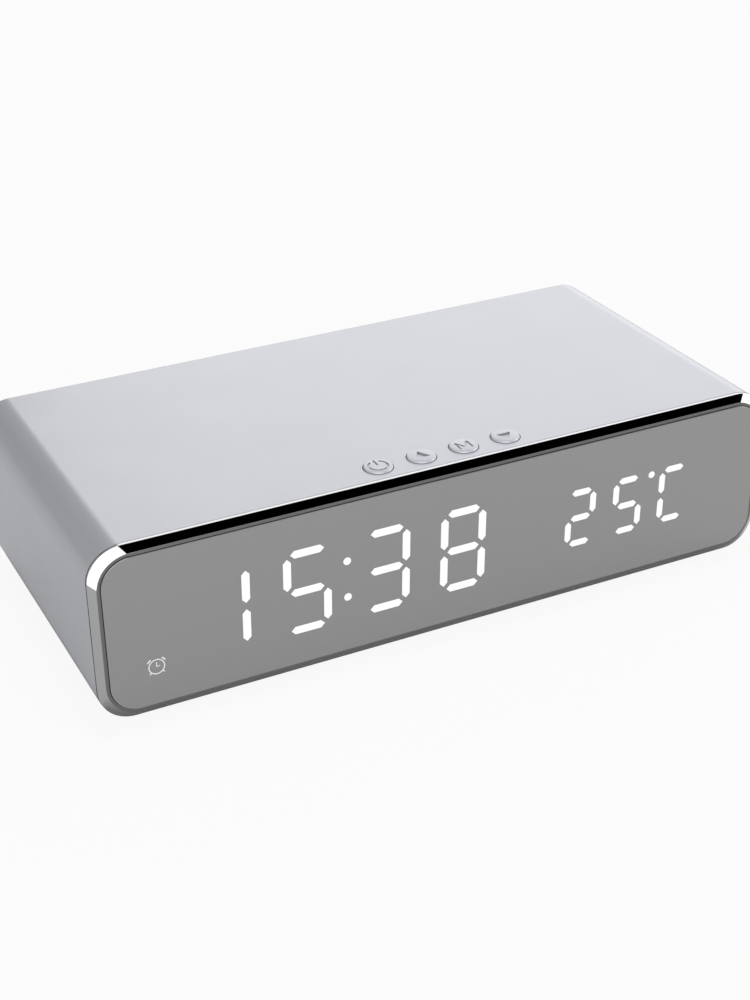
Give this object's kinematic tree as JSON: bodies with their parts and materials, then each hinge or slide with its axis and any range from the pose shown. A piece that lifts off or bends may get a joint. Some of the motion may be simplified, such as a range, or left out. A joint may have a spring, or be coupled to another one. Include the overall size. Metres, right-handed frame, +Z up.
{
  "type": "wireless charging alarm clock",
  "caption": "Low rounded-box table clock with a half-mirror segment display in a bright chamfered bezel, push buttons on top and a flat top face that charges a phone.",
  "frame": {"origin": "on the table under the middle of the clock: the centre of the bounding box's bottom face", "axes": "+X to the right of someone facing the display, +Y from the display to the back, +Z up"},
  "size_m": [0.16, 0.0768, 0.0412],
  "materials": {
    "silver_paint": "satin silver metallic paint on moulded plastic",
    "bright_plate": "polished bright plating",
    "half_mirror": "grey half-mirror sheet, polished",
    "white_film": "matt white diffuser",
    "black_plastic": "moulded black",
    "grey_plastic": "fine-textured moulded grey",
    "circuit_board": "solder-masked board",
    "steel": "plain bright steel",
    "copper": "enamelled copper winding",
    "ferrite": "dark sintered ferrite",
    "chip": "moulded epoxy",
    "capacitor": "dipped gloss",
    "ribbon": "insulated flat lead",
    "rubber": "matt black rubber"
  },
  "bodies": {
    "clock_body": {"housing_sleeve": "silver_paint", "front_bezel": "bright_plate", "front_lens": "half_mirror", "diffuser_film": "white_film", "segment_mask": "black_plastic", "led_board": "circuit_board", "display_screw_1": "steel", "display_screw_2": "steel", "display_screw_3": "steel", "display_screw_4": "steel", "power_switch_case": "steel", "up_switch_case": "steel", "mode_switch_case": "steel", "down_switch_case": "steel", "button_board": "circuit_board", "button_board_screw_1": "steel", "button_board_screw_2": "steel", "charging_coil": "copper", "ferrite_sheet": "ferrite", "rear_cover": "grey_plastic", "rear_screw_1": "steel", "rear_screw_2": "steel", "rear_screw_3": "steel", "rear_screw_4": "steel", "main_board": "circuit_board", "main_board_screw_1": "steel", "main_board_screw_2": "steel", "inlet_shell": "steel", "inlet_tongue": "black_plastic", "microcontroller": "chip", "charge_controller": "chip", "power_inductor": "ferrite", "resonant_capacitor": "capacitor", "buzzer": "black_plastic", "cell_holder": "black_plastic", "backup_cell": "steel", "temperature_sensor": "chip", "display_ribbon": "ribbon", "button_ribbon": "ribbon", "coil_lead": "ribbon", "rubber_foot_1": "rubber", "rubber_foot_2": "rubber", "rubber_foot_3": "rubber", "rubber_foot_4": "rubber"},
    "power_key": {"power_button": "silver_paint", "power_switch_plunger": "black_plastic"},
    "up_key": {"up_button": "silver_paint", "up_switch_plunger": "black_plastic"},
    "mode_key": {"mode_button": "silver_paint", "mode_switch_plunger": "black_plastic"},
    "down_key": {"down_button": "silver_paint", "down_switch_plunger": "black_plastic"}
  },
  "joints": [
    {"name": "power_press", "type": "slide", "parent": "clock_body", "child": "power_key", "axis": [0, 0, -1], "range_m": [0, 0.0004], "stiffness_N_per_m": 4000},
    {"name": "up_press", "type": "slide", "parent": "clock_body", "child": "up_key", "axis": [0, 0, -1], "range_m": [0, 0.0004], "stiffness_N_per_m": 4000},
    {"name": "mode_press", "type": "slide", "parent": "clock_body", "child": "mode_key", "axis": [0, 0, -1], "range_m": [0, 0.0004], "stiffness_N_per_m": 4000},
    {"name": "down_press", "type": "slide", "parent": "clock_body", "child": "down_key", "axis": [0, 0, -1], "range_m": [0, 0.0004], "stiffness_N_per_m": 4000}
  ]
}
